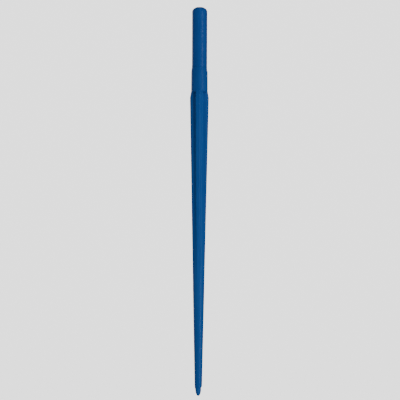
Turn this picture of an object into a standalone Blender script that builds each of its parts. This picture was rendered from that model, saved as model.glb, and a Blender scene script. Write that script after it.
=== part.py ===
"""A stake-type drip emitter: a finned ground spike with a push-on domed cap.

The feed tube enters through the hole in the dome. Water passes the strainer, goes down
the bore of the core to press on the diaphragm, and runs through the toothed channels of
the core to the diaphragm's seat. It leaves by four ports at the heads of the flutes.

Sizes are in millimetres and become metres as each mesh is finished. +Z is up along the
stake. The origin is on its axis at the soil line, where the fins are widest, and one fin
points along -Y.
"""

import math

import bmesh
import bpy
from mathutils import Matrix

MM = 0.001
MERGE = 1e-7
SMOOTH_ANGLE = math.radians(35)
ROUND_SIDES = 32  # of a small turned piece

# Driving dimensions
CAP_RADIUS = 4.0
CAP_WALL = 1.0
CAP_SIDES = 48
FIT = 0.15  # room between pieces that slide into each other
REST = 0.1  # gap where one inner piece lies on another
SEAM = 0.3  # visible gap between the cap and the collar

# Spike, from the soil line down
FIN_RADIUS = 4.98
FIN_END_RADIUS = 2.0
FIN_HALF = 1.85  # half of a fin's thickness at the soil line
FIN_END_HALF = 1.32
FIN_ROUNDING = 9.0  # power that blends one fin's side into the next
FIN_LENGTH = 151.8
FIN_RINGS = 7
SHAFT_RADIUS = 3.04  # of the round shaft that the tapering fins sink into
SHAFT_RINGS = 4  # below the fins
WIDEST_EDGE = 0.5  # sine of the largest angle given to half of a fin's edge
FIN_EDGE_POINTS = 2
FLUTE_POINTS = 7
CORE_POINT_RADIUS = 1.64
CORE_POINT_TOP = -152.2
NOSE_RADIUS = 0.95
TIP = -156.5

# Collar, between the spike and the cap
SCOOP_BOTTOM = 2.6
COLLAR_BOTTOM = 3.7
COLLAR_RADIUS = 4.39
COLLAR_TOP_RADIUS = 4.33
COLLAR_SHOULDER = 13.7
COLLAR_TOP = 16.2

# Cap
CAP_BOTTOM = COLLAR_TOP + SEAM
DOME_BASE = 45.2
DOME_HEIGHT = 2.65
CAP_TOP = 47.6
LIP_RADIUS = 1.95
INLET_RADIUS = 1.5
BORE = CAP_RADIUS - CAP_WALL
BORE_TOP = 45.75
CHAMFER = 0.2

# Stem of the spike inside the cap, with the pocket in its top and the outlet below it
INNER_RADIUS = BORE - FIT
STEM_TOP = 26.4
POCKET_FLOOR = 20.6
POCKET_RADIUS = 2.25
OUTLET_RADIUS = 1.1
OUTLET_BOTTOM = 1.6
PORT_RADIUS = 0.55
PORT_HEIGHT = 2.4
PORT_REACH = 4.0

# O-rings, and the grooves they lie in
RING_SECTION = 0.36
RING_ROOM = 0.06
RING_RADIUS = BORE - RING_SECTION - RING_ROOM
GROOVE_RADIUS = RING_RADIUS - RING_SECTION - RING_ROOM
GROOVE_HALF = 0.5
STEM_RING_HEIGHT = 18.4
CORE_RING_HEIGHT = 35.0

# Pieces in the pocket, from its floor up
PIECE_RADIUS = POCKET_RADIUS - FIT
SEAT_BOTTOM = POCKET_FLOOR + REST
SEAT_THICKNESS = 0.9
SEAT_TOP = SEAT_BOTTOM + SEAT_THICKNESS
SEAT_HOLE = 0.35
LIP_WIDTH = 0.2
LIP_HEIGHT = 0.15
LIFT = 0.35  # rest gap between the seat's lip and the diaphragm
DIAPHRAGM_BOTTOM = SEAT_TOP + LIP_HEIGHT + LIFT
DIAPHRAGM_THICKNESS = 0.6
DIAPHRAGM_TOP = DIAPHRAGM_BOTTOM + DIAPHRAGM_THICKNESS
CLAMP_BOTTOM = DIAPHRAGM_TOP + REST
CLAMP_THICKNESS = 0.6
CLAMP_TOP = CLAMP_BOTTOM + CLAMP_THICKNESS
CLAMP_HOLE = 1.4

# Core with its three stacked channels
CORE_BOTTOM = CLAMP_TOP + REST
FLANGE_GAP = 0.2
CORE_FLANGE = STEM_TOP + FLANGE_GAP
CORE_SIDES = 40
CORE_TOP = 36.4
NECK_TOP = 38.4
NECK_RADIUS = 1.85
CORE_BORE = 0.6
CHANNELS = 3
CHANNEL_HEIGHT = 1.7
PARTITION = 0.6
CHANNEL_FLOOR = 2.25
CHANNEL_BOTTOM = CORE_FLANGE + PARTITION
TEETH = 20  # in one channel, by turns from its roof and from its floor
TOOTH_WIDTH = 0.42
TOOTH_LENGTH = 1.05
TOOTH_TOP_RADIUS = 2.8
SLOT_WIDTH = 0.36
SINK = 0.1  # how far a tooth runs into the wall that it grows from

# Strainer
STRAINER_BOTTOM = CORE_TOP + FIT
STRAINER_FOOT = 1.0
STRAINER_STEP = STRAINER_BOTTOM + STRAINER_FOOT
STRAINER_ROOF = 41.3
STRAINER_TOP = 42.1
STRAINER_INSIDE = NECK_RADIUS + FIT
STRAINER_WALL = 0.45
STRAINER_OUTSIDE = STRAINER_INSIDE + STRAINER_WALL
STRAINER_SIDES = 36
WINDOWS = 6
WINDOW_WIDTH = 1.4
WINDOW_EDGE = 0.4
WINDOW_DEPTH = 1.5  # radius that the window cutters reach in to
MESH_INSIDE = STRAINER_OUTSIDE + REST
GAUZE_THICKNESS = 0.12
MESH_OUTSIDE = MESH_INSIDE + GAUZE_THICKNESS

# Inlet seal
WASHER_BOTTOM = 42.5
WASHER_TOP = 42.95
WASHER_HOLE = 1.7
GROMMET_BOTTOM = WASHER_TOP + REST
GROMMET_TOP = BORE_TOP - REST
GROMMET_HOLE = 1.35
GROMMET_THROAT = 1.15


def material(name, colour, roughness):
    made = bpy.data.materials.new(name)
    made.use_nodes = True
    shader = made.node_tree.nodes["Principled BSDF"]
    shader.inputs["Base Color"].default_value = (*colour, 1.0)
    shader.inputs["Roughness"].default_value = roughness
    return made


def finished(name, mesh, paint=None):
    """Turns a bmesh in millimetres into a named object in metres."""
    bmesh.ops.scale(mesh, vec=(MM, MM, MM), verts=mesh.verts)
    bmesh.ops.remove_doubles(mesh, verts=mesh.verts, dist=MERGE)
    bmesh.ops.recalc_face_normals(mesh, faces=mesh.faces)
    data = bpy.data.meshes.new(name)
    mesh.to_mesh(data)
    mesh.free()
    data.shade_smooth()
    data.set_sharp_from_angle(angle=SMOOTH_ANGLE)
    if paint:
        data.materials.append(paint)
    made = bpy.data.objects.new(name, data)
    bpy.context.scene.collection.objects.link(made)
    return made


def turned(name, outline, sides, paint, closed=True):
    """Spins an outline of (radius, height) about Z. An open one starts and ends on Z."""
    mesh = bmesh.new()
    points = [mesh.verts.new((radius, 0, height)) for radius, height in outline]
    pairs = list(zip(points, points[1:]))
    if closed:
        pairs.append((points[-1], points[0]))
    edges = [mesh.edges.new(pair) for pair in pairs]
    bmesh.ops.spin(
        mesh,
        geom=points + edges,
        axis=(0, 0, 1),
        cent=(0, 0, 0),
        angle=math.tau,
        steps=sides,
        use_merge=True,
    )
    return finished(name, mesh, paint)


def arc(radius, height, reach, rise, start, end, steps):
    """Points of an elliptical arc about (radius, height), with its angles in degrees."""
    angles = [math.radians(start + (end - start) * i / steps) for i in range(steps + 1)]
    return [(radius + reach * math.cos(a), height + rise * math.sin(a)) for a in angles]


def block(mesh, size, centre, degrees):
    """Adds a box to a bmesh, turned about Z."""
    place = Matrix.Rotation(math.radians(degrees), 4, "Z") @ Matrix.Translation(centre)
    bmesh.ops.create_cube(mesh, size=1.0, matrix=place @ Matrix.Diagonal((*size, 1.0)))


def combine(target, helper, operation):
    """Cuts or joins a helper, which isn't part of the emitter itself."""
    change = target.modifiers.new(helper.name, "BOOLEAN")
    change.operation = operation
    change.solver = "EXACT"
    change.object = helper
    helper.hide_render = True
    helper.display_type = "WIRE"


def ring_angles(fin_edge):
    """The angles of one ring's points: closer on the fins' edges, with 4 equal quarters."""
    edge = [fin_edge * i / FIN_EDGE_POINTS for i in range(FIN_EDGE_POINTS + 1)]
    gap = math.pi / 2 - 2 * fin_edge
    flute = [fin_edge + gap * i / (FLUTE_POINTS + 1) for i in range(1, FLUTE_POINTS + 1)]
    rest = [math.pi / 2 - angle for angle in reversed(edge[1:])]
    quarter = edge + flute + rest
    return [quarter_turn * math.pi / 2 + angle for quarter_turn in range(4) for angle in quarter]


def cross_reach(angle, radius, half):
    """How far the crossed fins reach at an angle."""
    across = max(abs(math.sin(angle)), 1e-6)
    along = max(abs(math.cos(angle)), 1e-6)
    corner = (across**-FIN_ROUNDING + along**-FIN_ROUNDING) ** (1 / FIN_ROUNDING)
    return min(radius, half * corner)


def round_ring(radius, height):
    """A circle whose points lie where those of the widest fin section do."""
    angles = ring_angles(math.asin(FIN_HALF / FIN_RADIUS))
    return [(radius * math.cos(a), radius * math.sin(a), height) for a in angles]


def fin_ring(radius, half, height, fill=0.0):
    """A section of the fins round their shaft. Fill closes the flutes, up to a circle at 1."""
    ring = []
    for angle in ring_angles(math.asin(min(half / radius, WIDEST_EDGE))):
        reach = max(cross_reach(angle, radius, half), min(SHAFT_RADIUS, radius))
        reach += fill * (radius - reach)
        ring.append((reach * math.cos(angle), reach * math.sin(angle), height))
    return ring


def spike_rings():
    """Every ring of the spike, from its tip up the outside and down into the pocket."""
    nose = arc(0, TIP + NOSE_RADIUS, NOSE_RADIUS, NOSE_RADIUS, -60, 0, 2)
    rings = [round_ring(*point) for point in nose]
    rings.append(round_ring(CORE_POINT_RADIUS, CORE_POINT_TOP))
    run_out = (FIN_RADIUS - SHAFT_RADIUS) / (FIN_RADIUS - FIN_END_RADIUS)
    shaft = [1 - (1 - run_out) * i / SHAFT_RINGS for i in range(SHAFT_RINGS)]
    fins = [run_out * (1 - i / (FIN_RINGS - 1)) for i in range(FIN_RINGS)]
    for down in shaft + fins:
        radius = FIN_RADIUS + (FIN_END_RADIUS - FIN_RADIUS) * down
        half = FIN_HALF + (FIN_END_HALF - FIN_HALF) * down
        rings.append(fin_ring(radius, half, -FIN_LENGTH * down))
    for rise in (0, 0.4, 0.7, 0.9, 1):
        height = SCOOP_BOTTOM + (COLLAR_BOTTOM - SCOOP_BOTTOM) * rise
        radius = FIN_RADIUS + (COLLAR_RADIUS - FIN_RADIUS) * height / COLLAR_BOTTOM
        rings.append(fin_ring(radius, FIN_HALF, height, 1 - math.sqrt(1 - rise**2)))
    outline = [
        (COLLAR_TOP_RADIUS, COLLAR_SHOULDER),
        (CAP_RADIUS, COLLAR_TOP),
        (INNER_RADIUS, COLLAR_TOP),
        (INNER_RADIUS, STEM_RING_HEIGHT - GROOVE_HALF),
        (GROOVE_RADIUS, STEM_RING_HEIGHT - GROOVE_HALF),
        (GROOVE_RADIUS, STEM_RING_HEIGHT + GROOVE_HALF),
        (INNER_RADIUS, STEM_RING_HEIGHT + GROOVE_HALF),
        (INNER_RADIUS, STEM_TOP - CHAMFER),
        (INNER_RADIUS - CHAMFER, STEM_TOP),
        (POCKET_RADIUS, STEM_TOP),
        (POCKET_RADIUS, POCKET_FLOOR),
        (OUTLET_RADIUS, POCKET_FLOOR),
        (OUTLET_RADIUS, OUTLET_BOTTOM),
    ]
    return rings + [round_ring(*point) for point in outline]


def make_spike(paint):
    mesh = bmesh.new()
    rings = [[mesh.verts.new(point) for point in ring] for ring in spike_rings()]
    for low, high in zip(rings, rings[1:]):
        for i in range(len(low)):
            mesh.faces.new((low[i - 1], low[i], high[i], high[i - 1]))
    tip = mesh.verts.new((0, 0, TIP))
    for i in range(len(rings[0])):
        mesh.faces.new((tip, rings[0][i], rings[0][i - 1]))
    mesh.faces.new(rings[-1])
    spike = finished("spike", mesh, paint)

    ports = bmesh.new()
    for degrees in (45, 135):
        turn = Matrix.Rotation(math.radians(degrees), 4, "Z")
        lay_down = Matrix.Rotation(math.pi / 2, 4, "Y")
        bmesh.ops.create_cone(
            ports,
            cap_ends=True,
            segments=12,
            radius1=PORT_RADIUS,
            radius2=PORT_RADIUS,
            depth=2 * PORT_REACH,
            matrix=Matrix.Translation((0, 0, PORT_HEIGHT)) @ turn @ lay_down,
        )
    combine(spike, finished("port_cutter", ports), "DIFFERENCE")


def make_cap(paint):
    dome_end = math.degrees(math.acos(LIP_RADIUS / CAP_RADIUS))
    outline = [
        (BORE + CHAMFER, CAP_BOTTOM),
        (CAP_RADIUS - CHAMFER, CAP_BOTTOM),
        (CAP_RADIUS, CAP_BOTTOM + CHAMFER),
        *arc(0, DOME_BASE, CAP_RADIUS, DOME_HEIGHT, 0, dome_end, 9),
        (LIP_RADIUS - CHAMFER / 2, CAP_TOP),
        (INLET_RADIUS, CAP_TOP),
        (INLET_RADIUS, BORE_TOP),
        (BORE, BORE_TOP),
        (BORE, CAP_BOTTOM + CHAMFER),
    ]
    turned("cap", outline, CAP_SIDES, paint)


def make_ring(name, height, paint):
    outline = arc(RING_RADIUS, height, RING_SECTION, RING_SECTION, 0, 315, 7)
    turned(name, outline, ROUND_SIDES, paint)


def channel_floors():
    return [CHANNEL_BOTTOM + i * (CHANNEL_HEIGHT + PARTITION) for i in range(CHANNELS)]


def make_teeth():
    """Teeth by turns from each channel's roof and floor, and one wall right across it."""
    teeth = bmesh.new()
    depth = TOOTH_TOP_RADIUS - CHANNEL_FLOOR + SINK
    radius = TOOTH_TOP_RADIUS - depth / 2
    for floor in channel_floors():
        roof = floor + CHANNEL_HEIGHT
        for i in range(1, TEETH):
            length = TOOTH_LENGTH + SINK
            height = roof + SINK - length / 2 if i % 2 else floor - SINK + length / 2
            size = (depth, TOOTH_WIDTH, length)
            block(teeth, size, (radius, 0, height), i * 360 / TEETH)
        wall = (depth, TOOTH_WIDTH, CHANNEL_HEIGHT + 2 * SINK)
        block(teeth, wall, (radius, 0, (floor + roof) / 2), 0)
    return finished("teeth_to_join", teeth)


def make_slots():
    """The way from the bore into the top channel, down past each wall, and out below."""
    slots = bmesh.new()
    beside_wall = 360 / TEETH / 2
    reach = CAP_RADIUS
    floors = channel_floors()
    inlet = (reach, SLOT_WIDTH, SLOT_WIDTH)
    inlet_height = floors[-1] + CHANNEL_HEIGHT / 2
    block(slots, inlet, (reach / 2, 0, inlet_height), beside_wall)
    step = (reach - CHANNEL_FLOOR, SLOT_WIDTH, PARTITION + 2 * SINK)
    centre = (reach + CHANNEL_FLOOR) / 2
    side = -1
    for floor in reversed(floors[1:]):
        block(slots, step, (centre, 0, floor - PARTITION / 2), side * beside_wall)
        side = -side
    plug_slot_radius = PIECE_RADIUS - FIT
    length = floors[0] + SINK - (CORE_BOTTOM - SINK)
    down = (reach - plug_slot_radius, SLOT_WIDTH, length)
    centre = (reach + plug_slot_radius) / 2
    height = CORE_BOTTOM - SINK + length / 2
    block(slots, down, (centre, 0, height), side * beside_wall)
    return finished("slot_cutter", slots)


def make_core(paint):
    outline = [
        (CORE_BORE, CORE_BOTTOM),
        (PIECE_RADIUS, CORE_BOTTOM),
        (PIECE_RADIUS, CORE_FLANGE),
        (INNER_RADIUS, CORE_FLANGE),
    ]
    for floor in channel_floors():
        outline += [
            (INNER_RADIUS, floor),
            (CHANNEL_FLOOR, floor),
            (CHANNEL_FLOOR, floor + CHANNEL_HEIGHT),
            (INNER_RADIUS, floor + CHANNEL_HEIGHT),
        ]
    outline += [
        (INNER_RADIUS, CORE_RING_HEIGHT - GROOVE_HALF),
        (GROOVE_RADIUS, CORE_RING_HEIGHT - GROOVE_HALF),
        (GROOVE_RADIUS, CORE_RING_HEIGHT + GROOVE_HALF),
        (INNER_RADIUS, CORE_RING_HEIGHT + GROOVE_HALF),
        (INNER_RADIUS, CORE_TOP),
        (NECK_RADIUS, CORE_TOP),
        (NECK_RADIUS, NECK_TOP),
        (CORE_BORE, NECK_TOP),
    ]
    core = turned("labyrinth_core", outline, CORE_SIDES, paint)
    combine(core, make_teeth(), "UNION")
    combine(core, make_slots(), "DIFFERENCE")


def make_seat(paint):
    lip_radius = SEAT_HOLE + LIP_WIDTH
    outline = [
        (SEAT_HOLE, SEAT_BOTTOM),
        (PIECE_RADIUS, SEAT_BOTTOM),
        (PIECE_RADIUS, SEAT_TOP),
        (lip_radius, SEAT_TOP),
        (lip_radius, SEAT_TOP + LIP_HEIGHT),
        (SEAT_HOLE, SEAT_TOP + LIP_HEIGHT),
    ]
    turned("diaphragm_seat", outline, ROUND_SIDES, paint)


def make_diaphragm(paint):
    outline = [
        (0, DIAPHRAGM_BOTTOM),
        (PIECE_RADIUS - REST, DIAPHRAGM_BOTTOM),
        (PIECE_RADIUS - REST, DIAPHRAGM_TOP),
        (0, DIAPHRAGM_TOP),
    ]
    turned("diaphragm", outline, ROUND_SIDES, paint, closed=False)


def plain_ring(name, inside, outside, bottom, top, paint):
    corners = [(inside, bottom), (outside, bottom), (outside, top), (inside, top)]
    turned(name, corners, ROUND_SIDES, paint)


def make_strainer(paint):
    outline = [
        (0, STRAINER_ROOF),
        (STRAINER_INSIDE, STRAINER_ROOF),
        (STRAINER_INSIDE, STRAINER_BOTTOM),
        (INNER_RADIUS, STRAINER_BOTTOM),
        (INNER_RADIUS, STRAINER_STEP),
        (STRAINER_OUTSIDE, STRAINER_STEP),
        (STRAINER_OUTSIDE, STRAINER_TOP),
        (0, STRAINER_TOP),
    ]
    strainer = turned("strainer", outline, STRAINER_SIDES, paint, closed=False)
    windows = bmesh.new()
    low = STRAINER_STEP + WINDOW_EDGE
    high = STRAINER_ROOF - WINDOW_EDGE
    size = (BORE - WINDOW_DEPTH, WINDOW_WIDTH, high - low)
    for i in range(WINDOWS):
        centre = ((BORE + WINDOW_DEPTH) / 2, 0, (low + high) / 2)
        block(windows, size, centre, i * 360 / WINDOWS)
    combine(strainer, finished("window_cutter", windows), "DIFFERENCE")


def make_grommet(paint):
    """A sleeve with a narrower throat half way, which grips the feed tube."""
    middle = (GROMMET_BOTTOM + GROMMET_TOP) / 2
    outline = [
        (GROMMET_HOLE, GROMMET_BOTTOM),
        (INNER_RADIUS, GROMMET_BOTTOM),
        (INNER_RADIUS, GROMMET_TOP),
        (GROMMET_HOLE, GROMMET_TOP),
        (GROMMET_THROAT, middle),
    ]
    turned("inlet_grommet", outline, ROUND_SIDES, paint)


for thing in list(bpy.data.objects):
    bpy.data.objects.remove(thing)

blue = material("blue_plastic", (0.0018, 0.075, 0.25), 0.36)
cap_blue = material("cap_plastic", (0.0018, 0.075, 0.25), 0.34)
acetal = material("white_acetal", (0.72, 0.71, 0.67), 0.4)
black = material("black_acetal", (0.02, 0.02, 0.022), 0.4)
rubber = material("black_rubber", (0.012, 0.012, 0.013), 0.6)
silicone = material("clear_silicone", (0.62, 0.64, 0.62), 0.45)
gauze = material("filter_gauze", (0.78, 0.76, 0.68), 0.55)

make_spike(blue)
make_cap(cap_blue)
make_core(black)
make_ring("stem_ring", STEM_RING_HEIGHT, rubber)
make_ring("core_ring", CORE_RING_HEIGHT, rubber)
make_seat(acetal)
make_diaphragm(silicone)
plain_ring("diaphragm_clamp", CLAMP_HOLE, PIECE_RADIUS, CLAMP_BOTTOM, CLAMP_TOP, acetal)
make_strainer(acetal)
gauze_low = STRAINER_STEP + REST
gauze_high = STRAINER_TOP - REST
plain_ring("strainer_mesh", MESH_INSIDE, MESH_OUTSIDE, gauze_low, gauze_high, gauze)
plain_ring("inlet_washer", WASHER_HOLE, INNER_RADIUS, WASHER_BOTTOM, WASHER_TOP, acetal)
make_grommet(rubber)
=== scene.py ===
import math

import bmesh
import bpy
from mathutils import Matrix, Vector


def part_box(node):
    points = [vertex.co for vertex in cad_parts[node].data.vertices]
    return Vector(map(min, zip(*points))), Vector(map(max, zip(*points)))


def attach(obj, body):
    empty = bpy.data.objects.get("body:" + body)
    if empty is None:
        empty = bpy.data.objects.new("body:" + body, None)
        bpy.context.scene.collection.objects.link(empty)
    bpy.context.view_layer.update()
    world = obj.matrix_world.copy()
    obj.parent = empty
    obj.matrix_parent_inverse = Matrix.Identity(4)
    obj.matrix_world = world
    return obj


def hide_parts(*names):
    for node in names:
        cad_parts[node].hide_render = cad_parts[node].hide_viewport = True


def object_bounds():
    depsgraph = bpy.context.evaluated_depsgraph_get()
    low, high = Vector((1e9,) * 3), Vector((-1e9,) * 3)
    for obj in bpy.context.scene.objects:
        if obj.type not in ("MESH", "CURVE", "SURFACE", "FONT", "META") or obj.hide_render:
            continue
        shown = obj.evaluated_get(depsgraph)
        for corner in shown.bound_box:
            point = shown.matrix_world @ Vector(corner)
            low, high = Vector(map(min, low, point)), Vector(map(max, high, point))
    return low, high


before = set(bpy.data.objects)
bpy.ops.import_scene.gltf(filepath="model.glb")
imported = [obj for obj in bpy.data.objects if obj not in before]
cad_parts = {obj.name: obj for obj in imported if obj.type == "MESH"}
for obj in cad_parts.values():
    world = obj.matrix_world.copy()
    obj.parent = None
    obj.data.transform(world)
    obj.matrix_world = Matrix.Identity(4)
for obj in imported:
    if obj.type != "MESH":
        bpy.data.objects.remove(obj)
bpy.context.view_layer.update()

print("frame loaded:", sorted(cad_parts))

# Pieces are modelled in millimetres, where the operators' merge and bevel widths behave
# well, and finishPiece brings each one to metres.
mm = 0.001


def boxMm(node):
    low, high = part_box(node)
    return [c / mm for c in low], [c / mm for c in high]


def selectOnly(piece):
    if bpy.context.mode != "OBJECT":
        bpy.ops.object.mode_set(mode="OBJECT")
    bpy.ops.object.select_all(action="DESELECT")
    if piece:
        piece.select_set(True)
        bpy.context.view_layer.objects.active = piece


def newPrimitive(add, **settings):
    selectOnly(None)
    add(**settings)
    piece = bpy.context.active_object
    bpy.ops.object.transform_apply(location=True, rotation=True, scale=True)
    return piece


def editPiece(piece, kind="VERT"):
    selectOnly(piece)
    bpy.ops.object.mode_set(mode="EDIT")
    bpy.ops.mesh.select_mode(type=kind)
    bpy.ops.mesh.select_all(action="DESELECT")


def pickVerts(piece, wanted):
    bpy.ops.mesh.select_mode(type="VERT")
    bpy.ops.mesh.select_all(action="DESELECT")
    mesh = bmesh.from_edit_mesh(piece.data)
    for vert in mesh.verts:
        vert.select = wanted(vert.co)
    mesh.select_flush(True)
    bmesh.update_edit_mesh(piece.data)


def pickEdges(piece, wanted):
    bpy.ops.mesh.select_mode(type="EDGE")
    bpy.ops.mesh.select_all(action="DESELECT")
    mesh = bmesh.from_edit_mesh(piece.data)
    for edge in mesh.edges:
        edge.select = wanted(edge.verts[0].co, edge.verts[1].co)
    bmesh.update_edit_mesh(piece.data)


def pickFaces(piece, wanted):
    bpy.ops.mesh.select_mode(type="FACE")
    bpy.ops.mesh.select_all(action="DESELECT")
    mesh = bmesh.from_edit_mesh(piece.data)
    mesh.normal_update()
    for face in mesh.faces:
        face.select = wanted(face.normal, face.calc_center_median())
    bmesh.update_edit_mesh(piece.data)


def extrude(x, y, z):
    bpy.ops.mesh.extrude_region_move(TRANSFORM_OT_translate={"value": (x, y, z)})


def stretch(x, y, z, centre=(0, 0, 0)):
    bpy.ops.transform.resize(value=(x, y, z), center_override=centre)


def shift(x, y, z):
    bpy.ops.transform.translate(value=(x, y, z))


def applyModifier(piece, kind, **settings):
    selectOnly(piece)
    change = piece.modifiers.new(kind.title(), kind)
    for name, value in settings.items():
        setattr(change, name, value)
    bpy.ops.object.modifier_apply(modifier=change.name)


def softenEdges(piece, width, segments=3, angle=32):
    applyModifier(piece, "BEVEL", width=width, segments=segments, limit_method="ANGLE",
                  angle_limit=math.radians(angle))


def combine(piece, tool, operation):
    applyModifier(piece, "BOOLEAN", operation=operation, solver="EXACT", object=tool)
    bpy.data.objects.remove(tool)


def joinAll(pieces):
    selectOnly(pieces[0])
    for piece in pieces:
        piece.select_set(True)
    bpy.ops.object.join()
    return pieces[0]


def turnedCopy(piece, degrees, height=0):
    copy = bpy.data.objects.new(piece.name, piece.data.copy())
    bpy.context.scene.collection.objects.link(copy)
    copy.matrix_world = Matrix.Translation((0, 0, height)) @ Matrix.Rotation(math.radians(degrees), 4, "Z")
    selectOnly(copy)
    bpy.ops.object.transform_apply(location=True, rotation=True, scale=True)
    return copy


# Draws an outline of (radius, height) point by point and spins it about the stake's axis.
# A ring's outline is closed on itself; a solid's starts and ends on the axis.
def spinOutline(outline, steps=96, ring=True):
    radius, height = outline[0]
    selectOnly(None)
    bpy.ops.mesh.primitive_plane_add(size=0.1, location=(radius, 0, height))
    piece = bpy.context.active_object
    bpy.ops.object.mode_set(mode="EDIT")
    bpy.ops.mesh.select_mode(type="VERT")  # a single point can't be extruded in face mode
    bpy.ops.mesh.select_all(action="SELECT")
    bpy.ops.mesh.merge(type="CENTER")
    for here, there in zip(outline, outline[1:]):
        extrude(there[0] - here[0], 0, there[1] - here[1])
    if ring:
        bpy.ops.mesh.select_all(action="DESELECT")
        mesh = bmesh.from_edit_mesh(piece.data)
        for vert in mesh.verts:
            vert.select = len(vert.link_edges) == 1
        bmesh.update_edit_mesh(piece.data)
        bpy.ops.mesh.edge_face_add()
    bpy.ops.mesh.select_all(action="SELECT")
    bpy.ops.mesh.spin(steps=steps, angle=math.tau, center=(0, 0, 0), axis=(0, 0, 1))
    bpy.ops.mesh.select_all(action="SELECT")
    bpy.ops.mesh.remove_doubles(threshold=0.0005)
    bpy.ops.mesh.normals_make_consistent(inside=False)
    selectOnly(piece)
    bpy.ops.object.transform_apply(location=True, rotation=True, scale=True)
    return piece


def arcPoints(centreRadius, centreHeight, reach, rise, start, end, steps):
    turns = [math.radians(start + (end - start) * i / steps) for i in range(steps + 1)]
    return [(centreRadius + reach * math.cos(t), centreHeight + rise * math.sin(t)) for t in turns]


def finishPiece(piece, name, node, body, finish, smoothAngle=30):
    selectOnly(piece)
    piece.name = name
    piece.data.name = name
    piece.scale = (mm, mm, mm)
    bpy.ops.object.transform_apply(location=True, rotation=True, scale=True)
    bpy.ops.object.shade_smooth_by_angle(angle=math.radians(smoothAngle))
    piece.data.materials.clear()
    piece.data.materials.append(finish)
    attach(piece, body)
    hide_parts(node)
    print("made", name, len(piece.data.polygons), "faces")


def newGroup(name, inputs, outputs):
    group = bpy.data.node_groups.new(name, "ShaderNodeTree")
    for socket, value in inputs.items():
        made = group.interface.new_socket(socket, in_out="INPUT", socket_type="NodeSocketFloat")
        made.default_value = value
    for socket in outputs:
        group.interface.new_socket(socket, in_out="OUTPUT", socket_type="NodeSocketFloat")
    entry = group.nodes.new("NodeGroupInput")
    leave = group.nodes.new("NodeGroupOutput")
    return group, entry, leave


def stretchedNoise(tree, scaleFrom, stretchBy, detail, roughness=0.5):
    place = tree.nodes.new("ShaderNodeTexCoord")
    turn = tree.nodes.new("ShaderNodeMapping")
    turn.inputs["Scale"].default_value = stretchBy
    noise = tree.nodes.new("ShaderNodeTexNoise")
    noise.inputs["Detail"].default_value = detail
    noise.inputs["Roughness"].default_value = roughness
    tree.links.new(place.outputs["Object"], turn.inputs["Vector"])
    tree.links.new(turn.outputs["Vector"], noise.inputs["Vector"])
    tree.links.new(scaleFrom, noise.inputs["Scale"])
    return noise.outputs["Fac"]


def remap(tree, value, low, high, toLow=0.0, toHigh=1.0):
    ramp = tree.nodes.new("ShaderNodeMapRange")
    ramp.interpolation_type = "SMOOTHSTEP"
    ramp.inputs["From Min"].default_value = low
    ramp.inputs["From Max"].default_value = high
    ramp.inputs["To Min"].default_value = toLow
    ramp.inputs["To Max"].default_value = toHigh
    tree.links.new(value, ramp.inputs["Value"])
    return ramp.outputs["Result"]


def calculate(tree, operation, first, second):
    maths = tree.nodes.new("ShaderNodeMath")
    maths.operation = operation
    for socket, value in zip(maths.inputs, (first, second)):
        if isinstance(value, (int, float)):
            socket.default_value = value
        else:
            tree.links.new(value, socket)
    return maths.outputs["Value"]


# The fine spark-eroded skin of a mould, with the slow waves of shrinkage under it.
def buildMouldedSkin():
    group, entry, leave = newGroup(
        "mouldedSkin", {"Grain Scale": 6000, "Wave Scale": 260}, ["Height", "Mottle"])
    grain = stretchedNoise(group, entry.outputs["Grain Scale"], (1, 1, 1), 3, 0.6)
    wave = stretchedNoise(group, entry.outputs["Wave Scale"], (1, 1, 0.35), 2)
    slow = calculate(group, "MULTIPLY", wave, 4.0)
    group.links.new(calculate(group, "ADD", grain, slow), leave.inputs["Height"])
    group.links.new(remap(group, wave, 0.32, 0.68), leave.inputs["Mottle"])
    return group


# Faint streaks where the plastic ran along the mould.
def buildFlowLines():
    group, entry, leave = newGroup("flowLines", {"Scale": 900}, ["Lines"])
    lines = stretchedNoise(group, entry.outputs["Scale"], (1, 1, 0.02), 4)
    group.links.new(remap(group, lines, 0.38, 0.66), leave.inputs["Lines"])
    return group


# Short rubs and scratches from being pushed into pots and boxes.
def buildHandlingMarks():
    group, entry, leave = newGroup("handlingMarks", {"Scale": 1500, "Amount": 0.5}, ["Marks"])
    long = stretchedNoise(group, entry.outputs["Scale"], (1.6, 1, 0.05), 6, 0.7)
    patch = stretchedNoise(group, calculate(group, "MULTIPLY", entry.outputs["Scale"], 0.12),
                           (1, 1, 0.6), 2)
    scratches = remap(group, long, 0.62, 0.7)
    patches = remap(group, patch, 0.5, 0.66)
    marks = calculate(group, "MULTIPLY", scratches, patches)
    group.links.new(calculate(group, "MULTIPLY", marks, entry.outputs["Amount"]),
                    leave.inputs["Marks"])
    return group


groups = {
    "skin": buildMouldedSkin(),
    "flow": buildFlowLines(),
    "marks": buildHandlingMarks(),
}


def placeGroup(tree, name, **values):
    node = tree.nodes.new("ShaderNodeGroup")
    node.node_tree = groups[name]
    for socket, value in values.items():
        node.inputs[socket.replace("_", " ")].default_value = value
    return node.outputs


def blendColour(tree, factor, first, second):
    mix = tree.nodes.new("ShaderNodeMix")
    mix.data_type = "RGBA"
    tree.links.new(factor, mix.inputs["Factor"])
    for socket, colour in ((mix.inputs[6], first), (mix.inputs[7], second)):
        if isinstance(colour, tuple):
            socket.default_value = (*colour, 1.0)
        else:
            tree.links.new(colour, socket)
    return mix.outputs[2]


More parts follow.
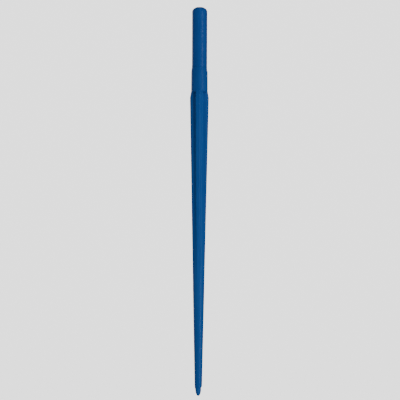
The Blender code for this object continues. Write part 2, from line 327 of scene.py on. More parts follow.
def makeFinish(name, look):
    material = bpy.data.materials.new(name)
    material.use_nodes = True
    tree = material.node_tree
    shader = tree.nodes["Principled BSDF"]
    for socket, value in look["shader"].items():
        shader.inputs[socket].default_value = value
    skin = placeGroup(tree, "skin", Grain_Scale=look["grain"], Wave_Scale=look["wave"])
    flow = placeGroup(tree, "flow", Scale=look["flow"])
    marks = placeGroup(tree, "marks", Scale=look["marks"], Amount=look["wear"])
    tone = calculate(tree, "MULTIPLY", calculate(tree, "ADD", skin["Mottle"], flow["Lines"]), 0.5)
    colour = blendColour(tree, tone, look["deep"], look["light"])
    if "paler" in look:
        place = tree.nodes.new("ShaderNodeTexCoord")
        split = tree.nodes.new("ShaderNodeSeparateXYZ")
        tree.links.new(place.outputs["Object"], split.inputs["Vector"])
        below = remap(tree, split.outputs["Z"], *look["palerFrom"], look["palerBy"], 0)
        colour = blendColour(tree, below, colour, look["paler"])
    colour = blendColour(tree, marks["Marks"], colour, look["rubbed"])
    tree.links.new(colour, shader.inputs["Base Color"])
    gloss = remap(tree, skin["Mottle"], 0, 1, look["smooth"], look["rough"])
    tree.links.new(calculate(tree, "ADD", gloss, calculate(tree, "MULTIPLY", marks["Marks"], 0.3)),
                   shader.inputs["Roughness"])
    bump = tree.nodes.new("ShaderNodeBump")
    bump.inputs["Strength"].default_value = look["bump"]
    bump.inputs["Distance"].default_value = 0.00002
    height = calculate(tree, "SUBTRACT", skin["Height"], marks["Marks"])
    tree.links.new(height, bump.inputs["Height"])
    tree.links.new(bump.outputs["Normal"], shader.inputs["Normal"])
    return material


looks = {
    "bluePlastic": {
        "deep": (0.0, 0.070, 0.305), "light": (0.0, 0.085, 0.360), "rubbed": (0.05, 0.19, 0.40),
        "paler": (0.0, 0.104, 0.415), "palerFrom": (0.0005, 0.004), "palerBy": 0.35,
        "grain": 7000, "wave": 230, "flow": 900, "marks": 1500, "wear": 0.35,
        "smooth": 0.34, "rough": 0.44, "bump": 0.35,
        "shader": {"Specular IOR Level": 0.4},
    },
    "capPlastic": {
        "deep": (0.0, 0.068, 0.310), "light": (0.0, 0.083, 0.370), "rubbed": (0.05, 0.18, 0.40),
        "grain": 8000, "wave": 210, "flow": 1000, "marks": 1700, "wear": 0.3,
        "smooth": 0.33, "rough": 0.42, "bump": 0.3,
        "shader": {"Specular IOR Level": 0.4},
    },
    "blackAcetal": {
        "deep": (0.016, 0.016, 0.018), "light": (0.026, 0.026, 0.028), "rubbed": (0.12, 0.12, 0.12),
        "grain": 9000, "wave": 500, "flow": 1500, "marks": 2500, "wear": 0.3,
        "smooth": 0.32, "rough": 0.44, "bump": 0.3,
        "shader": {},
    },
    "whiteAcetal": {
        "deep": (0.66, 0.65, 0.61), "light": (0.78, 0.77, 0.73), "rubbed": (0.55, 0.53, 0.48),
        "grain": 9000, "wave": 500, "flow": 1500, "marks": 2500, "wear": 0.3,
        "smooth": 0.34, "rough": 0.46, "bump": 0.3,
        "shader": {"Subsurface Weight": 0.15, "Subsurface Scale": 0.0005},
    },
    "blackRubber": {
        "deep": (0.010, 0.010, 0.011), "light": (0.020, 0.020, 0.021), "rubbed": (0.09, 0.09, 0.085),
        "grain": 11000, "wave": 600, "flow": 1200, "marks": 2600, "wear": 0.5,
        "smooth": 0.5, "rough": 0.66, "bump": 0.5,
        "shader": {"Sheen Weight": 0.1},
    },
    "milkySilicone": {
        "deep": (0.60, 0.63, 0.62), "light": (0.74, 0.76, 0.74), "rubbed": (0.82, 0.83, 0.81),
        "grain": 9000, "wave": 700, "flow": 1200, "marks": 2600, "wear": 0.2,
        "smooth": 0.36, "rough": 0.5, "bump": 0.25,
        "shader": {"Subsurface Weight": 0.5, "Subsurface Scale": 0.0008},
    },
    "nylonGauze": {
        "deep": (0.70, 0.68, 0.60), "light": (0.84, 0.82, 0.75), "rubbed": (0.50, 0.44, 0.34),
        "grain": 12000, "wave": 900, "flow": 2000, "marks": 900, "wear": 0.5,
        "smooth": 0.3, "rough": 0.45, "bump": 0.2,
        "shader": {},
    },
}
finishes = {name: makeFinish(name, look) for name, look in looks.items()}
print("finishes made:", ", ".join(finishes))


spikeLow, spikeHigh = boxMm("spike")
capHigh = boxMm("cap")[1]
stake = {
    "partingHeight": 0.05,  # how proud the mould's parting line stands
    "partingHalf": 0.09,
    "finHalf": 1.85,  # half of a fin's thickness at the soil line
    "finRunOut": -99.6,  # here the fins have sunk into the shaft
    "finRunOutHalf": 1.48,
    "finRunOutRadius": 2.99,
    "frontRunOutHalf": 1.08,  # the flat fins sink corners last
    "frontRunOutRadius": 2.8,
    "finTop": 4.0,
    "finTopRadius": 4.3,
    "soilEdge": 0.25,  # softens the bend in the fins at the soil line
    "filletPercent": 22,
    "sidePercent": 46,  # the side fins have nearly round ends
    "frontPercent": 11,  # the front and back fins, on the parting line, are flatter
    "roundSegments": 7,
    "shaftTop": 3.2,
    "shaftParting": 0.02,
    "shaftRadius": 3.04,
    "shaftTaper": -98.8,  # below this the shaft narrows to the point
    "shaftEndRadius": 1.96,
    "shaftEnd": -151.5,
    "shaftEndShift": 0.05,
    "shaftEndEdge": 0.12,
    "shaftTaperEdge": 1.5,
    "pointRadius": 1.58,
    "pointTop": -152.5,
    "pointTilt": 12,  # the right-hand side stops in a small step, the left runs on
    "pointShift": -0.06,
    "noseRadius": 1.52,
    "noseRise": 3.6,
    "collarFoot": ((0, 2.5), (2.3, 2.5), (3.5, 2.85), (4.2, 3.3)),  # (radius, height)
    "collarLow": 3.8,
    "collarRadius": 4.39,
    "collarTopRadius": 4.33,
    "rampLow": 13.7,
    "rampHigh": 15.3,
    "rampTilt": -11.5,
    "collarTop": 16.2,
    "innerRadius": 2.85,
    "grooveRadius": 2.16,
    "grooveHalf": 0.5,
    "pocketRadius": 2.25,
    "pocketFloor": 20.6,
    "outletRadius": 1.1,
    "outletBottom": 1.6,
    "portRadius": 0.55,
    "portHeight": 2.4,
    "portFlare": 0.3,  # how fast a port widens over its flared stretch
    "portFlareStart": 2.65,
    "portFlareEnd": 4.95,
    "gateRadius": 0.55,
    "gateDepth": 0.9,
    "gatePlace": (0, 4.1, 8.6),
    "gateEdge": 0.1,
    "gateRim": 0.14,
    "gateDimple": 0.08,
    "edge": 0.05,
}


def ringHeight(node):
    low, high = boxMm(node)
    return (low[2] + high[2]) / 2


# Changes one level of the crossed fins to a new radius and thickness.
def reshapeFins(fins, height, radius, half, newRadius, newHalf):
    thin = newHalf / half
    reach = newRadius / radius
    here = lambda co: abs(co.z - height) < 0.01
    pickVerts(fins, lambda co: here(co) and abs(co.x) > half + 0.01)
    stretch(reach, thin, 1)
    pickVerts(fins, lambda co: here(co) and abs(co.y) > half + 0.01)
    stretch(thin, reach, 1)
    pickVerts(fins, lambda co: here(co) and max(abs(co.x), abs(co.y)) < half + 0.01)
    stretch(thin, thin, 1)


def makeFins():
    half, top, end = stake["finHalf"], stake["finTop"], stake["finRunOut"]
    radius = spikeHigh[0] - stake["partingHeight"]
    fins = newPrimitive(bpy.ops.mesh.primitive_cube_add, size=1, location=(0, 0, top / 2),
                        scale=(2 * half, 2 * half, top))
    editPiece(fins)
    for x, y in ((1, 0), (-1, 0), (0, 1), (0, -1)):
        pickFaces(fins, lambda normal, centre: normal.x * x + normal.y * y > 0.9
                  and abs(centre.x * y) + abs(centre.y * x) < 0.01)  # not the arms' flanks
        extrude(x * (radius - half), y * (radius - half), 0)
    pickFaces(fins, lambda normal, centre: normal.z < -0.9)
    extrude(0, 0, end)
    reshapeFins(fins, top, radius, half, stake["finTopRadius"], half)
    endRadius, frontRadius = stake["finRunOutRadius"], stake["frontRunOutRadius"]
    reshapeFins(fins, end, radius, half, endRadius, stake["finRunOutHalf"])
    for side in (1, -1):
        pickVerts(fins, lambda co: abs(co.z) < 0.01 and co.x * side > radius - 0.01)
        shift(side * stake["partingHeight"], 0, 0)
        pickVerts(fins, lambda co: abs(co.z - end) < 0.01 and co.y * side > endRadius - 0.01)
        shift(0, side * (frontRadius - endRadius), 0)
        stretch(stake["frontRunOutHalf"] / stake["finRunOutHalf"], 1, 1)

    def onRim(reach, height, atEnd):
        rim = {top: stake["finTopRadius"], 0: radius, end: atEnd}
        return any(abs(height - level) < 0.01 and abs(reach) > rim[level] - 0.01 for level in rim)

    rounds = (
        (lambda co: abs(abs(co.x) - abs(co.y)) < 0.01, "filletPercent"),
        (lambda co: onRim(co.x, co.z, endRadius), "sidePercent"),
        (lambda co: onRim(co.y, co.z, frontRadius), "frontPercent"),
    )
    for wanted, percent in rounds:
        pickEdges(fins, lambda a, b: abs(a.z - b.z) > 0.5 and wanted(a) and wanted(b))
        bpy.ops.mesh.bevel(offset_type="PERCENT", offset_pct=stake[percent],
                           segments=stake["roundSegments"], affect="EDGES")
    for x in (-stake["partingHalf"], 0, stake["partingHalf"]):
        bpy.ops.mesh.select_all(action="SELECT")
        bpy.ops.mesh.bisect(plane_co=(x, 0, 0), plane_no=(1, 0, 0))
    for side in (1, -1):
        pickVerts(fins, lambda co: abs(co.x) < 0.001 and onRim(max(co.y * side, 0), co.z, frontRadius))
        shift(0, side * stake["partingHeight"], 0)
    pickEdges(fins, lambda a, b: max(abs(a.z), abs(b.z)) < 0.01)
    bpy.ops.mesh.bevel(offset=stake["soilEdge"], segments=2, affect="EDGES")
    return fins


# The round shaft that the fins stand on, down to the point.
def makeShaft():
    nose, rise = stake["noseRadius"], stake["noseRise"]
    tip, end = spikeLow[2], stake["shaftEnd"]
    outline = [(0, stake["shaftTop"]), (stake["shaftRadius"], stake["shaftTop"]),
               (stake["shaftRadius"], stake["shaftTaper"]), (stake["shaftEndRadius"], end),
               (stake["pointRadius"], stake["pointTop"])]
    outline += arcPoints(0, tip + rise, nose, rise, -6, -90, 14)
    outline[-1] = (0, tip)
    shaft = spinOutline(outline, steps=112, ring=False)
    editPiece(shaft)
    pointTop, tilt = stake["pointTop"], math.radians(stake["pointTilt"])
    pickVerts(shaft, lambda co: abs(co.z - pointTop) < 0.01)
    bpy.ops.transform.rotate(value=tilt, orient_axis="Y", center_override=(0, 0, pointTop))
    stretch(1 / math.cos(tilt), 1, 1)
    shift(stake["pointShift"], 0, 0)
    pickVerts(shaft, lambda co: abs(co.z - end) < 0.01)
    shift(stake["shaftEndShift"], 0, 0)
    for height, width in ((end, stake["shaftEndEdge"]), (stake["shaftTaper"], stake["shaftTaperEdge"])):
        pickEdges(shaft, lambda a, b: max(abs(a.z - height), abs(b.z - height)) < 0.01)
        bpy.ops.mesh.bevel(offset=width, segments=3, affect="EDGES")
    for side in (1, -1):
        pickVerts(shaft, lambda co: abs(co.x) < 0.001 and co.y * side > 1)
        shift(0, side * stake["shaftParting"], 0)
    return shaft


# The collar, the stem above it and the pocket for the regulator, all turned in one.
def makeCollar():
    inner, groove = stake["innerRadius"], ringHeight("stem_ring")
    grooveLow, grooveHigh = groove - stake["grooveHalf"], groove + stake["grooveHalf"]
    stemTop = spikeHigh[2]
    headRadius = capHigh[0]
    collar = spinOutline([
        *stake["collarFoot"], (stake["collarRadius"], stake["collarLow"]),
        (stake["collarTopRadius"], stake["rampLow"]),
        (headRadius + 0.03, stake["rampHigh"]), (headRadius, stake["collarTop"]),
        (inner, stake["collarTop"]), (inner, grooveLow), (stake["grooveRadius"], grooveLow),
        (stake["grooveRadius"], grooveHigh), (inner, grooveHigh), (inner, stemTop),
        (stake["pocketRadius"], stemTop), (stake["pocketRadius"], stake["pocketFloor"]),
        (0, stake["pocketFloor"]),
    ], steps=128, ring=False)
    editPiece(collar)
    ramp, tilt = stake["rampHigh"], math.radians(stake["rampTilt"])
    pickVerts(collar, lambda co: abs(co.z - ramp) < 0.01)
    bpy.ops.transform.rotate(value=tilt, orient_axis="Y", center_override=(0, 0, ramp))
    stretch(1 / math.cos(tilt), 1, 1)
    for side in (1, -1):  # the parting line runs on up the collar
        pickVerts(collar, lambda co: abs(co.x) < 0.001 and co.y * side > 3.9
                  and co.z < stake["rampHigh"] + 1)
        shift(0, side * stake["partingHeight"] * 0.6, 0)
    softenEdges(collar, stake["edge"], angle=40)
    return collar


def makeGate():  # where the runner was clipped off, at the back of the collar
    gate = newPrimitive(bpy.ops.mesh.primitive_cylinder_add, vertices=32,
                        radius=stake["gateRadius"], depth=stake["gateDepth"],
                        location=stake["gatePlace"], rotation=(math.pi / 2, 0, 0))
    softenEdges(gate, stake["gateEdge"], angle=60)
    editPiece(gate)
    pickFaces(gate, lambda normal, centre: normal.y > 0.9)
    bpy.ops.mesh.inset(thickness=stake["gateRim"])
    shift(0, -stake["gateDimple"], 0)
    selectOnly(gate)
    return gate


# One way out of the bore, flared where it meets the flute.
def makePort(degrees):
    flareStart, flareEnd = stake["portFlareStart"], stake["portFlareEnd"]
    flare = stake["portFlare"] * (flareEnd - flareStart)
    port = newPrimitive(bpy.ops.mesh.primitive_cylinder_add, vertices=32,
                        radius=stake["portRadius"], depth=flareStart, rotation=(0, math.pi / 2, 0),
                        location=(flareStart / 2, 0, stake["portHeight"]))
    editPiece(port)
    pickFaces(port, lambda normal, centre: normal.x > 0.9)
    extrude(flareEnd - flareStart, 0, 0)
    grow = 1 + flare / stake["portRadius"]
    stretch(1, grow, grow, (0, 0, stake["portHeight"]))
    turned = turnedCopy(port, degrees)
    bpy.data.objects.remove(port)
    return turned


def makeStake():
    piece = makeFins()
    for part in (makeShaft(), makeCollar(), makeGate()):
        combine(piece, part, "UNION")
    outletTop = stake["pocketFloor"] + 1
    bore = newPrimitive(
        bpy.ops.mesh.primitive_cylinder_add, vertices=52, radius=stake["outletRadius"],
        depth=outletTop - stake["outletBottom"],
        location=(0, 0, (outletTop + stake["outletBottom"]) / 2))
    combine(piece, bore, "DIFFERENCE")
    for degrees in (45, 135, 225, 315):
        combine(piece, makePort(degrees), "DIFFERENCE")
    finishPiece(piece, "stake", "spike", "stake", finishes["bluePlastic"])


makeStake()


cap = {
    "seam": 0.015,  # the cap comes down this close to the collar
    "bore": 3.0,
    "boreTop": 45.75,
    "boreLead": 0.35,
    "domeBase": 45.2,
    "domeHeight": 2.65,
    "lipRadius": 1.95,
    "inletRadius": 1.5,
    "parting": 0.02,
    "edge": 0.06,
}


def makeCap():
    radius = capHigh[0]
    top = capHigh[2]
    bottom = stake["collarTop"] + cap["seam"]
    domeEnd = math.degrees(math.acos(cap["lipRadius"] / radius))
    dome = arcPoints(0, cap["domeBase"], radius, cap["domeHeight"], 0, domeEnd, 14)
    piece = spinOutline([
        (cap["bore"] + 0.15, bottom), (radius, bottom), *dome,
        (cap["lipRadius"] - 0.12, top), (cap["inletRadius"], top),
        (cap["inletRadius"], cap["boreTop"]), (cap["bore"], cap["boreTop"]),
        (cap["bore"], bottom + cap["boreLead"]),
    ], steps=144)
    editPiece(piece)
    for side in (1, -1):
        pickVerts(piece, lambda co: abs(co.x) < 0.001 and co.y * side > 3.9)
        shift(0, side * -cap["parting"], 0)
    softenEdges(piece, cap["edge"], angle=24)
    finishPiece(piece, "headCap", "cap", "cap", finishes["capPlastic"])


makeCap()


core = {
    "bore": 0.6,
    "plugRadius": 2.1,
    "flange": 26.6,
    "radius": 2.85,
    "floorRadius": 2.25,
    "channels": 3,
    "channelHeight": 1.7,
    "partition": 0.6,
    "grooveRadius": 2.16,
    "grooveHalf": 0.5,
    "top": 36.4,
    "neckRadius": 1.85,
    "teeth": 20,
    "toothBase": 0.5,
    "toothTip": 0.26,
    "toothLength": 1.05,
    "toothReach": 2.8,
    "sink": 0.1,
    "slot": 0.36,
    "edge": 0.05,
}


# One tooth, pointing up from z = 0 on the +X side, narrower at its tip.
def makeTooth():
    sink, length = core["sink"], core["toothLength"]
    low = core["floorRadius"] - sink
    tooth = newPrimitive(
        bpy.ops.mesh.primitive_cube_add, size=1,
        location=((low + core["toothReach"]) / 2, 0, (length - sink) / 2),
        scale=(core["toothReach"] - low, core["toothBase"], length + sink))
    editPiece(tooth)
    pickFaces(tooth, lambda normal, centre: normal.z > 0.9)
    stretch(1, core["toothTip"] / core["toothBase"], 1)
    selectOnly(tooth)
    softenEdges(tooth, 0.06, segments=2)
    return tooth


def channelFloors():
    first = core["flange"] + core["partition"]
    return [first + i * (core["channelHeight"] + core["partition"]) for i in range(core["channels"])]


def makeTeeth():
    tooth = makeTooth()
    hanging = turnedCopy(tooth, 0)
    editPiece(hanging)
    bpy.ops.mesh.select_all(action="SELECT")
    stretch(1, 1, -1)
    bpy.ops.mesh.normals_make_consistent(inside=False)
    selectOnly(hanging)
    pitch = 360 / core["teeth"]
    row = []
    for floor in channelFloors():
        roof = floor + core["channelHeight"]
        for i in range(1, core["teeth"]):
            row.append(turnedCopy(hanging, i * pitch, roof) if i % 2
                       else turnedCopy(tooth, i * pitch, floor))
        row.append(newPrimitive(  # the wall that turns the water into the next channel
            bpy.ops.mesh.primitive_cube_add, size=1,
            location=((core["floorRadius"] + core["toothReach"]) / 2 - 0.05, 0, (floor + roof) / 2),
            scale=(core["toothReach"] - core["floorRadius"] + 0.1, 0.42,
                   core["channelHeight"] + 2 * core["sink"])))
    bpy.data.objects.remove(tooth)
    bpy.data.objects.remove(hanging)
    return joinAll(row)


def makeSlot(length, degrees, inside, height):
    outside = core["radius"] + 1
    slot = newPrimitive(
        bpy.ops.mesh.primitive_cube_add, size=1, location=((inside + outside) / 2, 0, height),
        scale=(outside - inside, core["slot"], length))
    made = turnedCopy(slot, degrees)
    bpy.data.objects.remove(slot)
    return made


def makeCore():
    coreLow, coreHigh = boxMm("labyrinth_core")
    ring = ringHeight("core_ring")
    outline = [(core["bore"], coreLow[2]), (core["plugRadius"], coreLow[2]),
               (core["plugRadius"], core["flange"]), (core["radius"], core["flange"])]
    for floor in channelFloors():
        roof = floor + core["channelHeight"]
        outline += [(core["radius"], floor), (core["floorRadius"], floor),
                    (core["floorRadius"], roof), (core["radius"], roof)]
    for radius, height in ((core["radius"], -1), (core["grooveRadius"], -1),
                           (core["grooveRadius"], 1), (core["radius"], 1)):
        outline.append((radius, ring + height * core["grooveHalf"]))
    outline += [(core["radius"], core["top"]), (core["neckRadius"], core["top"]),
                (core["neckRadius"], coreHigh[2]), (core["bore"], coreHigh[2])]
    piece = spinOutline(outline, steps=112)
    softenEdges(piece, core["edge"], segments=2)
    combine(piece, makeTeeth(), "UNION")
    beside = 180 / core["teeth"]
    floors = channelFloors()
    plugInside = core["plugRadius"] - 0.15
    plugLow = coreLow[2] - 0.2
    plugHigh = floors[0] + core["sink"]
    inletHeight = floors[-1] + core["channelHeight"] / 2
    slots = [makeSlot(core["slot"], beside, 0.3, inletHeight),
             makeSlot(plugHigh - plugLow, -beside, plugInside, (plugLow + plugHigh) / 2)]
    for i, floor in enumerate(reversed(floors[1:])):
        side = beside if i % 2 else -beside
        slots.append(makeSlot(core["partition"] + 0.2, side, core["floorRadius"],
                              floor - core["partition"] / 2))
    for slot in slots:
        combine(piece, slot, "DIFFERENCE")
    finishPiece(piece, "labyrinthCore", "labyrinth_core", "stake", finishes["blackAcetal"])


makeCore()


seal = {"section": 0.36, "flash": 0.02}  # the flash is the line left by the mould


def makeSealRing(name, node):
    low, high = boxMm(node)
    radius = high[0] - seal["section"]
    height = (low[2] + high[2]) / 2
    ring = newPrimitive(bpy.ops.mesh.primitive_torus_add, major_radius=radius,
                        minor_radius=seal["section"] - seal["flash"], major_segments=128,
                        minor_segments=32, location=(0, 0, height))
    editPiece(ring)  # the thin line that the two halves of the mould leave
    for rim, scale in ((radius + seal["section"], 1), (radius - seal["section"], -1)):
        pickVerts(ring, lambda co: abs(co.z - height) < 0.01
                  and abs(math.hypot(co.x, co.y) - rim) < 0.05)
        grow = 1 + scale * seal["flash"] / rim
        stretch(grow, grow, 1, (0, 0, height))
    selectOnly(ring)
    finishPiece(ring, name, node, "stake", finishes["blackRubber"], smoothAngle=60)


makeSealRing("stemRing", "stem_ring")
makeSealRing("coreRing", "core_ring")


regulator = {
    "seatHole": 0.35,
    "lipWidth": 0.2,
    "lipHeight": 0.15,
    "bleedWidth": 0.12,  # groove across the lip, which a pressed diaphragm can't close
    "bleedDepth": 0.08,
    "dish": 0.07,
    "clampHole": 1.4,
    "notches": 4,
    "notchWidth": 0.5,
    "edge": 0.05,
}


def makeSeat():
    low, high = boxMm("diaphragm_seat")
    radius, lip = high[0], regulator["seatHole"] + regulator["lipWidth"]
    face = high[2] - regulator["lipHeight"]
    piece = spinOutline([
        (regulator["seatHole"], low[2]), (radius, low[2]), (radius, face),
        (radius - 0.35, face), (radius - 0.45, face - 0.08), (lip + 0.25, face - 0.08),
        (lip, face), (lip, high[2]), (regulator["seatHole"], high[2])], steps=96)
    softenEdges(piece, 0.03, segments=2)
    groove = newPrimitive(
        bpy.ops.mesh.primitive_cube_add, size=1, location=(lip / 2 + 0.2, 0, high[2]),
        scale=(lip + 0.4, regulator["bleedWidth"], 2 * regulator["bleedDepth"]))
    combine(piece, groove, "DIFFERENCE")
    finishPiece(piece, "diaphragmSeat", "diaphragm_seat", "stake", finishes["whiteAcetal"])


def makeDiaphragm():
    low, high = boxMm("diaphragm")
    radius, dish = high[0], regulator["dish"]
    piece = spinOutline([
        (0, low[2] + dish), (radius * 0.45, low[2] + dish), (radius * 0.62, low[2]),
        (radius, low[2]), (radius, high[2]), (radius * 0.62, high[2]),
        (radius * 0.45, high[2] - dish), (0, high[2] - dish)], steps=96, ring=False)
    softenEdges(piece, 0.09, angle=40)
    finishPiece(piece, "diaphragmDisc", "diaphragm", "diaphragm", finishes["milkySilicone"])


def makeClamp():
    low, high = boxMm("diaphragm_clamp")
    hole = regulator["clampHole"]
    piece = spinOutline([(hole, low[2]), (high[0], low[2]), (high[0], high[2]),
                         (hole + 0.25, high[2]), (hole, high[2] - 0.2)], steps=96)
    softenEdges(piece, regulator["edge"], segments=2)
    for i in range(regulator["notches"]):
        notch = newPrimitive(
            bpy.ops.mesh.primitive_cube_add, size=1, location=(high[0], 0, high[2]),
            scale=(0.5, regulator["notchWidth"], 0.5))
        turned = turnedCopy(notch, 45 + 360 * i / regulator["notches"])
        bpy.data.objects.remove(notch)
        combine(piece, turned, "DIFFERENCE")
    finishPiece(piece, "diaphragmClamp", "diaphragm_clamp", "stake", finishes["whiteAcetal"])


makeSeat()
makeDiaphragm()
makeClamp()


strainer = {
    "insideRadius": 2.0,
    "outsideRadius": 2.45,
    "step": 37.55,
    "roof": 41.3,
    "windows": 6,
    "windowWidth": 1.4,
    "windowEdge": 0.4,
    "windowRound": 0.25,
    "edge": 0.06,
    "uprightWires": 56,
    "hoops": 15,
    "hem": 0.28,
}


def makeStrainer():
    low, high = boxMm("strainer")
    inside, outside = strainer["insideRadius"], strainer["outsideRadius"]
    piece = spinOutline([
        (0, strainer["roof"]), (inside, strainer["roof"]), (inside, low[2]),
        (high[0], low[2]), (high[0], strainer["step"]), (outside, strainer["step"]),
        (outside, high[2] - 0.02), (0.9, high[2] - 0.02), (0.75, high[2] - 0.16),
        (0, high[2] - 0.16)], steps=120, ring=False)
    softenEdges(piece, strainer["edge"], segments=2)
    bottom = strainer["step"] + strainer["windowEdge"]
    top = strainer["roof"] - strainer["windowEdge"]
    for i in range(strainer["windows"]):
        window = newPrimitive(
            bpy.ops.mesh.primitive_cube_add, size=1, location=(2.25, 0, (bottom + top) / 2),
            scale=(1.5, strainer["windowWidth"], top - bottom))
        editPiece(window)
        pickEdges(window, lambda a, b: abs(a.x - b.x) > 1)
        bpy.ops.mesh.bevel(offset=strainer["windowRound"], segments=5, affect="EDGES")
        selectOnly(window)
        turned = turnedCopy(window, 360 * i / strainer["windows"])
        bpy.data.objects.remove(window)
        combine(piece, turned, "DIFFERENCE")
    finishPiece(piece, "strainerFrame", "strainer", "stake", finishes["whiteAcetal"])


# An upright wire, drawn up ring by ring, passes by turns outside and inside the hoops.
def makeUprightWire(radius, wire, low, pitch, crossings, first):
    made = newPrimitive(bpy.ops.mesh.primitive_circle_add, vertices=6, radius=wire,
                        fill_type="NGON", location=(radius - first * wire, 0, low))
    editPiece(made)
    pickFaces(made, lambda normal, centre: True)
    side = first
    for i in range(crossings):
        extrude(2 * side * wire, 0, pitch)
        side = -side
    bpy.ops.mesh.select_all(action="SELECT")
    bpy.ops.mesh.normals_make_consistent(inside=False)
    selectOnly(made)
    return made


def makeHoop(radius, wire, height, first):
    count = 2 * strainer["uprightWires"]
    hoop = newPrimitive(bpy.ops.mesh.primitive_torus_add, major_radius=radius,
                        minor_radius=wire, major_segments=count, minor_segments=6,
                        location=(0, 0, height))
    editPiece(hoop)
    step = math.tau / count
    for side in (1, -1):
        def wanted(co):
            place = round(math.atan2(co.y, co.x) / step) % 4
            return place == (0 if side * first > 0 else 2)
        pickVerts(hoop, wanted)
        grow = 1 + side * wire / radius
        stretch(grow, grow, 1, (0, 0, height))
    selectOnly(hoop)
    return hoop


def makeGauze():
    low, high = boxMm("strainer_mesh")
    inside = strainer["outsideRadius"] + 0.1
    radius = (inside + high[0]) / 2
    wire = (high[0] - inside) / 4
    pitch = (high[2] - low[2] - 2 * wire) / (strainer["hoops"] + 1)
    pieces = []
    for first in (1, -1):
        wireMade = makeUprightWire(radius, wire, low[2], pitch, strainer["hoops"] + 1, first)
        for i in range(strainer["uprightWires"] // 2):
            turn = 360 * (2 * i + (first < 0)) / strainer["uprightWires"]
            pieces.append(turnedCopy(wireMade, turn))
        bpy.data.objects.remove(wireMade)
    for i in range(1, strainer["hoops"] + 1):
        pieces.append(makeHoop(radius, wire, low[2] + i * pitch, -1 if i % 2 else 1))
    for bottom in (low[2], high[2] - strainer["hem"]):
        hem = spinOutline([(inside, bottom), (high[0], bottom),
                           (high[0], bottom + strainer["hem"]),
                           (inside, bottom + strainer["hem"])], steps=96)
        softenEdges(hem, 0.025, segments=2)
        pieces.append(hem)
    finishPiece(joinAll(pieces), "strainerGauze", "strainer_mesh", "stake",
                finishes["nylonGauze"], smoothAngle=60)


makeStrainer()
makeGauze()


inlet = {
    "washerHole": 1.7,
    "grommetHole": 1.35,
    "throat": 1.15,
    "ribs": 2,
    "ribDepth": 0.14,
    "edge": 0.06,
}


def makeWasher():
    low, high = boxMm("inlet_washer")
    piece = spinOutline([(inlet["washerHole"], low[2]), (high[0], low[2]), (high[0], high[2]),
                         (inlet["washerHole"] + 0.2, high[2]),
                         (inlet["washerHole"], high[2] - 0.15)], steps=96)
    softenEdges(piece, inlet["edge"], segments=2)
    finishPiece(piece, "inletWasher", "inlet_washer", "cap", finishes["whiteAcetal"])


def makeGrommet():
    low, high = boxMm("inlet_grommet")
    radius, tall = high[0], high[2] - low[2]
    middle = (low[2] + high[2]) / 2
    outline = [(inlet["grommetHole"], low[2]), (radius, low[2])]
    for i in range(1, inlet["ribs"] + 1):
        height = low[2] + tall * i / (inlet["ribs"] + 1)
        outline += [(radius, height - 0.22), (radius - inlet["ribDepth"], height - 0.1),
                    (radius - inlet["ribDepth"], height + 0.1), (radius, height + 0.22)]
    outline += [(radius, high[2]), (inlet["grommetHole"], high[2]),
                (inlet["throat"] + 0.03, middle + 0.35), (inlet["throat"], middle),
                (inlet["throat"] + 0.03, middle - 0.35)]
    piece = spinOutline(outline, steps=96)
    softenEdges(piece, inlet["edge"], segments=2, angle=40)
    finishPiece(piece, "inletGrommet", "inlet_grommet", "cap", finishes["blackRubber"])


makeWasher()
makeGrommet()


studio = {
    "floorDrop": 0.30,
    "floorSize": 8.0,
    "paleGrey": (0.86, 0.86, 0.86),
    "glow": 1.8,
    "worldGrey": 0.42,
    "lens": 135,
    "sensor": 36,
    "frameHeight": 0.2101,
    "lookAt": (0.00055, 0, -0.05358),
    "rollDegrees": -0.235,
    "lights": (
        # name, place, size, power
        ("keySoftbox", (0.58, -1.08, 0.02), (0.2, 1.3), 4.4),
        ("stripSoftbox", (0.86, -0.85, -0.2), (0.12, 1.3), 2.1),
        ("rimSoftbox", (-0.75, 0.9, 0.1), (0.5, 1.2), 2.5),
        ("topSoftbox", (0.1, -0.3, 1.3), (0.7, 0.7), 0.8),
    ),
}


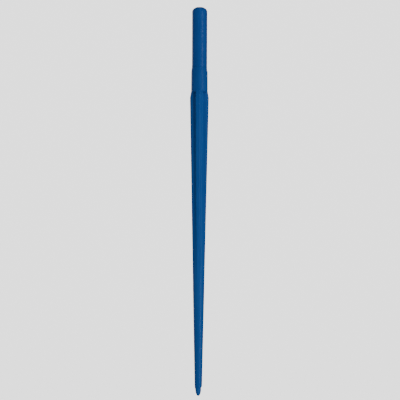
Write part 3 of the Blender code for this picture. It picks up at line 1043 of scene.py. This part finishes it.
def makeSweep():
    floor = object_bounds()[0].z - studio["floorDrop"]
    sweep = newPrimitive(bpy.ops.mesh.primitive_plane_add, size=studio["floorSize"],
                         location=(0, 0, floor))
    editPiece(sweep)
    back = studio["floorSize"] / 2
    pickEdges(sweep, lambda a, b: a.y > back - 0.01 and b.y > back - 0.01)
    extrude(0, 0, studio["floorSize"])
    pickEdges(sweep, lambda a, b: min(a.y, b.y) > back - 0.01 and max(a.z, b.z) < floor + 0.01)
    bpy.ops.mesh.bevel(offset=1.5, segments=24, affect="EDGES")
    selectOnly(sweep)
    bpy.ops.object.shade_smooth()
    sweep.name = "sweep"
    pale = bpy.data.materials.new("paleSweep")
    pale.use_nodes = True
    shader = pale.node_tree.nodes["Principled BSDF"]
    shader.inputs["Base Color"].default_value = (*studio["paleGrey"], 1)
    shader.inputs["Roughness"].default_value = 0.9
    shader.inputs["Emission Color"].default_value = (1, 1, 1, 1)
    shader.inputs["Emission Strength"].default_value = studio["glow"]
    sweep.data.materials.append(pale)
    sweep.visible_glossy = False  # its glow is for the eye only, and doesn't light the stake
    sweep.visible_diffuse = False
    sweep.visible_shadow = False


def makeLights():
    target = Vector(studio["lookAt"])
    for name, place, size, power in studio["lights"]:
        data = bpy.data.lights.new(name, "AREA")
        data.shape = "RECTANGLE"
        data.size, data.size_y = size
        data.energy = power
        lamp = bpy.data.objects.new(name, data)
        bpy.context.scene.collection.objects.link(lamp)
        lamp.location = place
        lamp.rotation_euler = (target - lamp.location).to_track_quat("-Z", "Y").to_euler()
        lamp.visible_glossy = name != "keySoftbox"  # the strip gives the highlight instead
    world = bpy.context.scene.world or bpy.data.worlds.new("studioWorld")
    bpy.context.scene.world = world
    world.use_nodes = True
    sky = world.node_tree.nodes["Background"]
    sky.inputs["Color"].default_value = (1, 1, 1, 1)
    sky.inputs["Strength"].default_value = studio["worldGrey"]
    world.cycles_visibility.glossy = False  # only the softboxes are mirrored in the plastic


def makeCamera():
    data = bpy.data.cameras.new("frontCamera")
    data.lens = studio["lens"]
    data.sensor_width = studio["sensor"]
    distance = studio["frameHeight"] * studio["lens"] / studio["sensor"]
    camera = bpy.data.objects.new("frontCamera", data)
    bpy.context.scene.collection.objects.link(camera)
    x, y, z = studio["lookAt"]
    camera.location = (x, y - distance, z)
    camera.rotation_euler = (math.pi / 2, math.radians(studio["rollDegrees"]), 0)
    data.clip_start, data.clip_end = 0.01, 50
    bpy.context.scene.camera = camera


makeSweep()
makeLights()
makeCamera()
print("studio ready")
